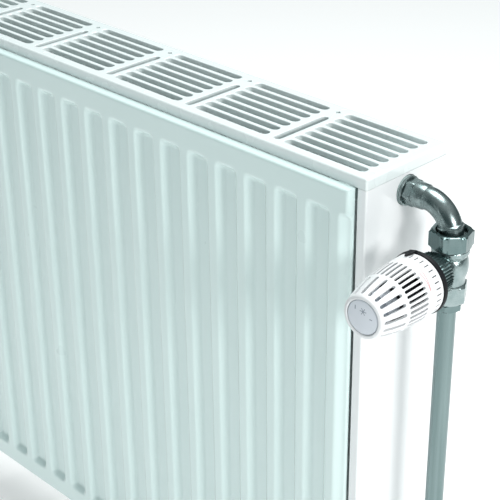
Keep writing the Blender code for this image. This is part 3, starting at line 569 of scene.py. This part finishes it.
# Wall fixing. Two zinc-plated angle brackets stand on the wall, and their hooks reach into looped lugs that
# are welded to the rear panel. Moulded caps keep the steel of one off the other.
zinc, zinc_shader, zinc_place = finish("zinc plate", (0.58, 0.61, 0.63), 0.38, 1.0)
spangle = noise(zinc_place, 120.0, 3.0)
join(zinc_shader.inputs["Base Color"], blend(spangle, (0.50, 0.54, 0.57), (0.68, 0.70, 0.70)))
join(zinc_shader.inputs["Roughness"], 0.3 + spangle * 0.2)
paint(zinc, "right_wall_bracket", "left_wall_bracket")
black, black_shader, black_place = finish("black moulding", (0.006, 0.007, 0.009), 0.5)
join(black_shader.inputs["Specular IOR Level"], 0.2)
raise_by(black_shader, noise(black_place, 900.0), 0.03 * MM, 0.5)
for side in ("right", "left"):
    for level in ("upper", "lower"):
        paint(PANEL_ENAMEL_PAINTED_SHADE, f"{level}_{side}_lug")
        paint(black, f"{level}_{side}_hook_sleeve")


# Closed tappings. The upper left has an air vent, whose brass screw is turned to bleed air, and the lower
# right a blanking plug. Both are nickel-plated brass drawn down on a flat rubber seal.
def nickel(name, dark, light, roughness, cast):
    """Nickel plate, with the grain of what lies under it: fine when turned, lumpy when cast."""
    made, shader, place = finish(name, dark, roughness, 1.0)
    cloud = noise(place, 90.0, 4.0)
    fine = noise(place, 520.0, 2.0)
    join(shader.inputs["Base Color"], blend(cloud, dark, light))
    join(shader.inputs["Roughness"], roughness + fine * 0.12)
    raise_by(shader, cloud * 0.6 + fine * 0.4, cast * MM, 0.7)
    return made


# Partly painted reflection: these three nickel finishes get tones far darker and more teal than plated
# nickel, standing in for the dark surroundings that the plated faces mirror. Their clouds are the metal's
# grain.
NICKEL = nickel("nickel on turned brass", (0.11, 0.17, 0.17), (0.19, 0.25, 0.25), 0.16, 0.03)
CAST_NICKEL = nickel("nickel on cast brass", (0.12, 0.19, 0.19), (0.46, 0.52, 0.52), 0.18, 0.8)
TUBE_NICKEL = nickel("nickel on drawn tube", (0.07, 0.12, 0.12), (0.38, 0.44, 0.44), 0.22, 0.1)
BRASS = nickel("turned brass", (0.62, 0.46, 0.20), (0.74, 0.58, 0.30), 0.26, 0.04)
rubber, rubber_shader, rubber_place = finish("black rubber", (0.03, 0.03, 0.03), 0.75)
raise_by(rubber_shader, noise(rubber_place, 700.0), 0.05 * MM, 0.5)
paint(NICKEL, "air_vent_plug", "blanking_plug")
paint(BRASS, "vent_screw")
paint(rubber, "air_vent_seal", "blanking_plug_seal", "tail_seal")


# Valve tail. A nickel-plated brass elbow screws into the upper right tapping by the flats on its collar, and
# turns down into the valve. A bead rolled round it stands just above the union nut.
TUBE_RADIUS = 9.25
BEND = 24.0
COLLAR_FLATS = 19.5
UNION_FLATS = 30
UNION_TURN = math.radians(-13)
BEAD_LEAN = math.radians(19)

boss_low, boss_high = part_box("upper_right_tee")
pipe_low, pipe_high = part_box("supply_pipe")
nut_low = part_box("union_nut")[0]
tap_z = (boss_low.z + boss_high.z) / 2
axis_x = (pipe_low.x + pipe_high.x) / 2
axis_y = (pipe_low.y + pipe_high.y) / 2
tail_place = facing((boss_high.x, axis_y, tap_z), (1, 0, 0))


def joined(name, *meshes):
    """Several closed bodies as one mesh."""
    made = bmesh.new()
    for mesh in meshes:
        made.from_mesh(mesh)
    return finished(made, name)


def bent_tube(radius, bend, straight, drop, material):
    """A round bar along a line that bends once, from the boss out and down."""
    tree, _, size, turn, out, down = geometry_tree("bent tube", "Radius", "Bend", "Out", "Down")
    corner = built(out, 0, 0, tree)
    foot = built(out, 0, down * -1, tree)
    first = add(tree, "GeometryNodeCurvePrimitiveLine", {"Start": (0, 0, 0), "End": corner})
    second = add(tree, "GeometryNodeCurvePrimitiveLine", {"Start": corner, "End": foot})
    both = tree.nodes.new("GeometryNodeJoinGeometry")
    join(both.inputs[0], second)
    join(both.inputs[0], first)
    lines = add(tree, "GeometryNodeCurveToMesh", {"Curve": Wire(both.outputs[0])})
    welded = add(tree, "GeometryNodeMergeByDistance", {"Geometry": lines, "Distance": 0.01 * MM})
    path = add(tree, "GeometryNodeMeshToCurve", {"Mesh": welded})
    round_corner = {"Curve": path, "Count": 20, "Radius": turn}
    path = add(tree, "GeometryNodeFilletCurve", round_corner, mode="POLY")
    profile = add(tree, "GeometryNodeCurvePrimitiveCircle", {"Resolution": 48, "Radius": size})
    sockets = {"Curve": path, "Profile Curve": profile, "Fill Caps": True}
    close(tree, add(tree, "GeometryNodeCurveToMesh", sockets), material)
    values = {"Radius": radius * MM, "Bend": bend * MM, "Out": straight, "Down": drop}
    return refined(bpy.data.meshes.new("tube"), tree=tree, **values)


seat_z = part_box("bent_tail")[0].z
tube = bent_tube(TUBE_RADIUS, BEND, axis_x - boss_high.x, tap_z - seat_z, NICKEL)
tube.transform(Matrix.Translation((boss_high.x, axis_y, tap_z)))
stub = turned("stub", [(0, -12), (9, -12), (9, 2.6), (0, 2.6)], tail_place)
lip_outline = [(0, 0.5), (11.6, 0.5), (12.0, 0.9), (12.0, 2.1), (11.5, 2.6), (0, 2.6)]
lip = turned("lip", lip_outline, tail_place)
collar_outline = [(0, 2.3), (10.6, 2.3), (10.9, 2.7), (10.9, 9.0), (10.4, 9.6), (10.2, 9.6), (0, 9.6)]
collar = turned("collar", collar_outline, tail_place, 96, COLLAR_FLATS)
cone_outline = [(0, 9.3), (9.7, 9.3), (10.2, 10.0), (10.1, 17.4), (9.3, 19.6), (0, 19.6)]
cone = turned("cone", cone_outline, tail_place)
bend = BEND * MM
bead_x = axis_x - bend * (1 - math.cos(BEAD_LEAN))
bead_z = tap_z - bend * (1 - math.sin(BEAD_LEAN))
upstream = (-math.sin(BEAD_LEAN), 0, math.cos(BEAD_LEAN))
bead_place = facing((bead_x, axis_y, bead_z), upstream, (0, 1, 0))
bead_outline = [(0, 1.5), (9.4, 1.5), (10.2, 0.7), (10.3, 0), (10.2, -0.7), (9.4, -1.5), (0, -1.5)]
bead = turned("bead", bead_outline, bead_place)
seat_place = Matrix.Translation((axis_x, axis_y, seat_z))
flange = turned("flange", [(0, 3.7), (12.4, 3.7), (12.4, 0), (0, 0)], seat_place)
fit("valve_tail", joined("tail", tube, stub, lip, collar, cone, bead, flange), TUBE_NICKEL, "bent_tail", 30)
union_outline = [(10.85, 11), (12.3, 14), (14.4, 14), (15.6, 13.6), (17.4, 12.6), (17.4, 1.4)]
union_outline += [(15.6, 0.4), (14.4, 0), (13.4, 0), (13.4, 10.5), (10.85, 10.5)]
union_place = Matrix.Translation((axis_x, axis_y, nut_low.z)) @ Matrix.Rotation(UNION_TURN, 4, "Z")
fit("union", turned("union", union_outline, union_place, 96, UNION_FLATS), NICKEL, "union_nut", 20)


# Valve body. A brass forging, shot-blasted and nickel plated, has a globe round the seat, a branch towards
# the room for the head, and a lower hexagon. An olive and a compression nut hold the pipe in it.
BODY_FLATS = 27
LOWER_FLATS = 22
PIPE_RADIUS = 7.5
PIPE_BORE = 6.5
PIPE_HOLE = 7.8

joint = next(item for item in frame["joints"] if item["name"] == "handle_turn")
head_place = facing(joint["pos_m"], joint["axis"])
head_z = joint["pos_m"][2]
upright = Matrix.Translation((axis_x, axis_y, head_z))


def reach(node):
    """Where a CAD node starts and ends along the head's axis, in millimetres, and its radius."""
    inward = head_place.inverted()
    points = [inward @ vertex.co for vertex in frame["nodes"][node].data.vertices]
    heights = [point.z / MM for point in points]
    return min(heights), max(heights), max(math.hypot(point.x, point.y) for point in points) / MM


spigot_top = (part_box("valve_body")[1].z - head_z) / MM
nut_gap = (nut_low.z - head_z) / MM
body_outline = [(0, spigot_top), (13, spigot_top), (13, nut_gap - 0.3), (14.3, nut_gap - 0.4)]
body_outline += [(14.6, nut_gap - 1.0), (14.6, nut_gap - 3.8), (14.1, nut_gap - 4.6)]
for i in range(9):
    turn = math.radians(60 - 15 * i)
    body_outline.append((11.6 + 2.9 * math.cos(turn), 9.4 * math.sin(turn)))
body_outline += [(12.6, -10.4), (12.3, -12.5), (12.7, -14.6), (0, -14.6)]
hex_low = (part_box("valve_body")[0].z - head_z) / MM
hex_outline = [(0, -14.2), (12.9, -14.2), (13.6, -15), (15.7, -16.2), (15.7, hex_low + 1.2)]
hex_outline += [(13.6, hex_low), (0, hex_low)]
thread_end = reach("valve_body")[1]
branch_outline = [(0, thread_end), (14.4, thread_end), (14.4, 15.4), (11.5, 15.4), (11.5, 0), (0, 0)]
branch = turned("branch", branch_outline, head_place)
lower_hex = turned("hexagon", hex_outline, upright, 96, BODY_FLATS)
body = cut(turned("body", body_outline, upright, 96), branch, lower_hex, operation="UNION")
pipe_top = (pipe_high.z - head_z) / MM + 0.3
socket_outline = [(0, pipe_top), (PIPE_HOLE, pipe_top), (PIPE_HOLE, hex_low + 15.3)]
socket_outline += [(10.6, hex_low + 14.3), (10.6, hex_low - 1), (0, hex_low - 1)]
socket = turned("socket", socket_outline, upright)
chamber = turned("chamber", [(0, thread_end + 1), (8, thread_end + 1), (8, 2), (0, 2)], head_place)
fit("body", cut(body, socket, chamber), CAST_NICKEL, "valve_body", 24)

low_z = (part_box("compression_nut")[0].z - head_z) / MM
compression_outline = [(PIPE_HOLE, hex_low + 8.5), (10.3, hex_low + 8.5), (10.3, hex_low - 0.8)]
compression_outline += [(11.2, hex_low - 0.8), (12.9, hex_low - 1.6), (12.9, low_z + 1.2)]
compression_outline += [(11.0, low_z), (PIPE_HOLE, low_z)]
lower_nut = turned("lower nut", compression_outline, upright, 96, LOWER_FLATS)
fit("lower_nut", lower_nut, NICKEL, "compression_nut", 20)

# Partly painted reflection: the pipe's tones are made dark and teal to stand in for the dark surroundings it
# mirrors. The long streaks along it are random marks of the drawn tube.
PIPE, pipe_shader, pipe_place = finish("drawn pipe", (0.18, 0.25, 0.25), 0.2, 1.0)
streaks = noise(pipe_place, 260.0, 3.0, (1, 1, 0.03))
join(pipe_shader.inputs["Base Color"], blend(streaks, (0.12, 0.18, 0.18), (0.26, 0.33, 0.33)))
join(pipe_shader.inputs["Roughness"], 0.14 + streaks * 0.16)
raise_by(pipe_shader, streaks, 0.02 * MM, 0.6)
pipe_long = (pipe_low.z - head_z) / MM
pipe_outline = [(PIPE_RADIUS, pipe_top - 0.3), (PIPE_RADIUS, pipe_long)]
pipe_outline += [(PIPE_BORE, pipe_long), (PIPE_BORE, pipe_top - 0.3)]
fit("pipe", turned("pipe", pipe_outline, upright), PIPE, "supply_pipe")

steel, steel_shader, steel_place = finish("ground steel", (0.58, 0.59, 0.60), 0.25, 1.0)
join(steel_shader.inputs["Roughness"], 0.2 + noise(steel_place, 400.0) * 0.15)
paint(BRASS, "olive", "valve_insert", "stem_gland")
paint(steel, "valve_stem", "stem_spring", "sensor_pusher", "overtravel_spring")
paint(rubber, "seat_washer")


# Knurled nut and base ring. The nut is turned brass with straight knurling, and draws the head onto the
# branch. The black moulded ring behind the handle has a pointer that lies over the handle's scale.
TEETH = 44
POINTER = math.radians(104)
POINTER_LOW = 24.85
POINTER_HIGH = 25.75
RING_LONG = 4.6

start, end, radius = reach("knurled_nut")
nut_outline = [(12.3, end - 3.5), (14.9, end - 3.5), (14.9, start), (radius - 1.4, start)]
nut_outline += [(radius - 1.2, start + 1), (radius - 1.2, end - 1), (radius - 1.4, end), (12.3, end)]


def around(name, mesh, count, size, material, first=0.0):
    """Copies of a mesh round the Z axis. Each is moved out along its own X by the given size."""
    tree, base, out, turn = geometry_tree(name, "Out", "First")
    points = add(tree, "GeometryNodeMeshLine", {"Count": count}, mode="OFFSET")
    spin = add(tree, "GeometryNodeInputIndex") * (2 * math.pi / count) + turn
    place = built(spin.math("COSINE") * out, spin.math("SINE") * out, 0, tree)
    points = add(tree, "GeometryNodeSetPosition", {"Geometry": points, "Position": place})
    sockets = {"Points": points, "Instance": base, "Rotation": built(0, 0, spin, tree)}
    close(tree, add(tree, "GeometryNodeInstanceOnPoints", sockets), material)
    return refined(mesh, tree=tree, Out=size * MM, First=first)


tooth_outline = [(0, end - 1.2), (0.4, end - 1.2), (0.8, end - 1.9), (0.8, start + 1.9), (0.4, start + 1.2)]
tooth = turned("tooth", [*tooth_outline, (0, start + 1.2)], Matrix(), 6)
knurls = around("knurls", tooth, TEETH, radius - 0.85, NICKEL)
knurls.transform(head_place)
nut = joined("nut", turned("nut", nut_outline, head_place, 96), knurls)
fit("head_nut", nut, NICKEL, "knurled_nut", 30)

end, radius = reach("head_base")[1:]
face = reach("handle_sleeve")[0] - 0.3
start = face - RING_LONG
sensor_start, _, sensor_radius = reach("sensor")
well = sensor_radius + 0.3
base_outline = [(well, end), (well + 2.1, end), (well + 2.1, face), (radius - 1.2, face)]
base_outline += [(radius - 0.3, face - 0.4), (radius, face - 1.2), (radius, start + 1)]
base_outline += [(radius - 0.8, start), (12, start), (12, thread_end + 3), (8.6, thread_end + 3)]
base_outline += [(8.6, sensor_start - 4), (well, sensor_start - 4)]
base = turned("base ring", base_outline, head_place, 96)
rings = []
for t, half in ((face - 2.5, 3.4), (face + 3.2, 3.0), (face + 8.6, 0.25)):
    corners = []
    section = ((POINTER_LOW, -half), (POINTER_LOW, half), (POINTER_HIGH, half), (POINTER_HIGH, -half))
    for height, shift in section:
        x = height * math.cos(POINTER) - shift * math.sin(POINTER)
        y = height * math.sin(POINTER) + shift * math.cos(POINTER)
        corners.append((x * MM, y * MM, t * MM))
    rings.append(corners)
root, tip = ([[sum(axis) / 4 for axis in zip(*ring)]] for ring in (rings[0], rings[-1]))
pointer = lofted("pointer", [root, *rings, tip], head_place)
fit("base_ring", joined("base ring", base, pointer), black, "head_base")


# Handle. A white moulded sleeve with a printed scale near its base, two rows of slots that let the room's
# air reach the sensor, and a pale cap in its front.
HANDLE_WALL = 2.4
REAR_SLOTS = 36
REAR_REACH = (60.5, 80.5)
REAR_HALF = 1.15
FRONT_REACH = (83.5, 104)
FRONT_HALF = 1.3
FIRST_SLOT = math.radians(1.5)
TAPER = 7.6
TAPER_FROM = 0.22
TAPER_CURVE = 2.2
TICK = math.radians(11.25)

start, end, radius = reach("handle_sleeve")
cap_start, cap_end, cap_radius = reach("end_cap")


def handle_size(t):
    """The handle's radius along its length."""
    share = (t - start) / (end - start)
    return radius - 0.3 - TAPER * (max(share - TAPER_FROM, 0) / (1 - TAPER_FROM)) ** TAPER_CURVE


stations = [start + (end - 1.0 - start) * i / 26 for i in range(27)]
outer = [(handle_size(t), t) for t in stations]
outer[0] = (outer[0][0] - 0.4, start)
outer.insert(1, (outer[1][0], start + 0.4))
outer += [(handle_size(end) - 0.1, end - 0.5), (handle_size(end) - 0.7, end - 0.1), (cap_radius + 1.0, end)]
outer.append((cap_radius + 0.3, end - 0.6))
outer.append((cap_radius + 0.3, cap_start))
inner = [(handle_size(t) - HANDLE_WALL, t) for t in stations if t < end - 6]
sleeve = turned("sleeve", outer + inner[::-1], head_place, 128)


def slot_cutter(low, high, half):
    """A round-ended slot's cutter that reaches out along X from inside the wall."""
    points = []
    for i in range(12):
        end_half, step = divmod(i, 6)
        angle = math.pi * end_half + math.pi * step / 5
        middle = low + half if end_half else high - half
        points.append((half * math.cos(angle), middle + half * math.sin(angle)))
    centre = (low + high) / 2
    rings = []
    for out in (-5.5, 4.0):
        rings.append([(out * MM, y * MM, t * MM) for y, t in points])
    poles = [[(out * MM, 0, centre * MM)] for out in (-5.5, 4.0)]
    return lofted("slot", [poles[0], *rings, poles[1]], Matrix())


rear_slot = slot_cutter(*REAR_REACH, REAR_HALF)
front_slot = slot_cutter(*FRONT_REACH, FRONT_HALF)
rear = around("rear slots", rear_slot, REAR_SLOTS, 23, black, FIRST_SLOT)
front = around("front slots", front_slot, REAR_SLOTS // 2, 20, black, FIRST_SLOT)
for cutters in (rear, front):
    cutters.transform(head_place)
    sleeve = cut(sleeve, cutters)


def on_head(place):
    """Across, up and forward on the head, in millimetres, from a place on it."""
    moved = add(place.tree, "ShaderNodeVectorMath", {0: place, 1: joint["pos_m"]}, operation="SUBTRACT")
    parts = []
    for axis in head_place.to_3x3().transposed():
        sockets = {0: moved, 1: axis / MM}
        parts.append(add(place.tree, "ShaderNodeVectorMath", sockets, "Value", operation="DOT_PRODUCT"))
    return parts


WHITE, white_shader, white_place = finish("white moulding", (0.84, 0.85, 0.86), 0.32)
across, upward, forward = on_head(white_place)
angle = upward.math("ARCTAN2", across)
step = ((angle / TICK).math("FLOORED_MODULO", 1) - 0.5).math("ABSOLUTE") * TICK * radius
mark = step.below(0.42, 0.1) * forward.below(50.2, 0.1) * (45.2 - forward).below(0, 0.1)
mark = mark * angle.below(math.radians(100), 0.01) * (math.radians(-40) - angle).below(0, 0.01)
share = ((angle - math.radians(20)) / math.radians(40)).clip()
wedge = (forward - 56.5).math("ABSOLUTE") - share * 1.6
outline_band = wedge.math("ABSOLUTE").below(0.28, 0.1) * angle.below(math.radians(60), 0.01)
outline_band = outline_band * (math.radians(20) - angle).below(0, 0.01)
plain = blend(mark, (0.80, 0.81, 0.82), (0.02, 0.02, 0.025))
join(white_shader.inputs["Base Color"], blend(outline_band, plain, (0.62, 0.24, 0.26)))
join(white_shader.inputs["Roughness"], 0.28 + noise(white_place, 300.0) * 0.1)
fit("handle", sleeve, WHITE, "handle_sleeve", 30)

cap_outline = [(0, cap_end), (cap_radius - 1.4, cap_end), (cap_radius - 0.5, cap_end - 0.25)]
cap_outline += [(cap_radius, cap_end - 0.9), (cap_radius, cap_start), (0, cap_start)]
CAP, cap_shader, cap_place = finish("pale blue moulding", (0.70, 0.74, 0.80), 0.35)
across, upward, forward = on_head(cap_place)
spot_x = across - 0.5
spot_y = upward - 5.0
size = (spot_x * spot_x + spot_y * spot_y).math("SQRT")
spoke = spot_y.math("ARCTAN2", spot_x) / (math.pi / 3)
spoke = (spoke.math("FLOORED_MODULO", 1) - 0.5).math("ABSOLUTE") * (math.pi / 3) * size
flake = (size * (math.pi / 6) - spoke).below(0.28, 0.1) * size.below(2.9, 0.1)
dash = (across - 7.5).math("ABSOLUTE").below(1.2, 0.1) * (upward - 1.0).math("ABSOLUTE").below(0.35, 0.1)
line = (across + 6.5).math("ABSOLUTE").below(0.35, 0.1) * (upward - 6.5).math("ABSOLUTE").below(1.6, 0.1)
print_marks = flake.math("MAXIMUM", dash).math("MAXIMUM", line)
join(cap_shader.inputs["Base Color"], blend(print_marks, (0.70, 0.74, 0.80), (0.20, 0.24, 0.30)))
join(cap_shader.inputs["Roughness"], 0.3 + noise(cap_place, 300.0) * 0.1)
fit("cap", turned("cap", cap_outline, head_place, 96), CAP, "end_cap")
paint(CAP, "sensor")
for node, colour in (("low_limit_clip", (0.05, 0.13, 0.5)), ("high_limit_clip", (0.55, 0.05, 0.04))):
    clip_paint, clip_shader, clip_place = finish(node, colour, 0.4)
    raise_by(clip_shader, noise(clip_place, 900.0), 0.02 * MM, 0.5)
    paint(clip_paint, node)


# Studio. A pale matt floor lies under the radiator. One wide soft light stands beyond its right end and one
# hangs overhead, a narrow strip in front draws lines on the metal, and the room is darker at eye level.
FLOOR_SPAN = 12.0
CAMERA_OFFSET = Vector((0.5965, -0.7111, 0.4311))
CAMERA_LENS = 100.6

floor = shown("floor", bpy.data.meshes.new("floor"))
floor_shape = bmesh.new()
bmesh.ops.create_grid(floor_shape, x_segments=1, y_segments=1, size=FLOOR_SPAN / 2)
floor_shape.to_mesh(floor.data)
floor_shape.free()
floor.location.z = cad_low.z - 1 * MM
floor_paint, floor_shader = finish("pale floor", (0.93, 0.93, 0.93), 0.9)[:2]
join(floor_shader.inputs["Emission Color"], (1, 1, 1, 1))
join(floor_shader.inputs["Emission Strength"], 0.28)
floor.data.materials.append(floor_paint)
floor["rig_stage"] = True


def soft_light(name, place, aim, wide, power, colour):
    light = bpy.data.lights.new(name, "AREA")
    light.shape = "DISK"
    light.size = wide
    light.energy = power
    light.color = colour
    obj = shown(name, light)
    obj.matrix_world = facing(place, Vector(place) - Vector(aim))
    return obj


soft_light("key", (2.4, -0.35, 0.9), (0.2, -0.1, 0.1), wide=0.7, power=29, colour=(1.0, 0.99, 0.985))
soft_light("top", (0.2, 0.3, 2.4), (0, -0.1, 0.2), wide=1.6, power=52, colour=(0.98, 1.0, 1.0))
strip_aim = (0.22, -0.1, 0.1)
strip = soft_light("strip", (0.22, -1.15, 0.1), strip_aim, wide=0.06, power=0.5, colour=(1.0, 1.0, 1.0))
strip.data.shape = "RECTANGLE"
strip.data.size_y = 0.9
strip.visible_camera = False
world = bpy.data.worlds.new("studio")
world.use_nodes = True
bpy.context.scene.world = world
sky = world.node_tree
direction = add(sky, "ShaderNodeTexCoord", out="Object")
aside, ahead, height = split(direction)
behind_viewer = ((aside * 0.67 - ahead * 0.74 - 0.45) * 1.5).clip()
lift = ((height + 0.05) / 0.75 + aside * 0.22 - behind_viewer * 0.7).clip()
join(sky.nodes["Background"].inputs["Color"], blend(lift, (0.12, 0.22, 0.23), (0.93, 1.0, 1.0)))
sky.nodes["Background"].inputs["Strength"].default_value = 0.48

camera = bpy.data.cameras.new("camera")
camera.lens = CAMERA_LENS
camera.sensor_width = 36
viewer = shown("camera", camera)
corner = Vector((grille_high.x, grille_low.y, grille_high.z))
pan = Matrix.Rotation(math.radians(45.29), 4, "Z")
tilt = Matrix.Rotation(math.radians(62.17), 4, "X")
roll = Matrix.Rotation(math.radians(-0.53), 4, "Z")
viewer.matrix_world = Matrix.Translation(corner + CAMERA_OFFSET) @ pan @ tilt @ roll
bpy.context.scene.camera = viewer
bpy.context.scene.view_settings.view_transform = "Standard"

low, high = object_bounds()
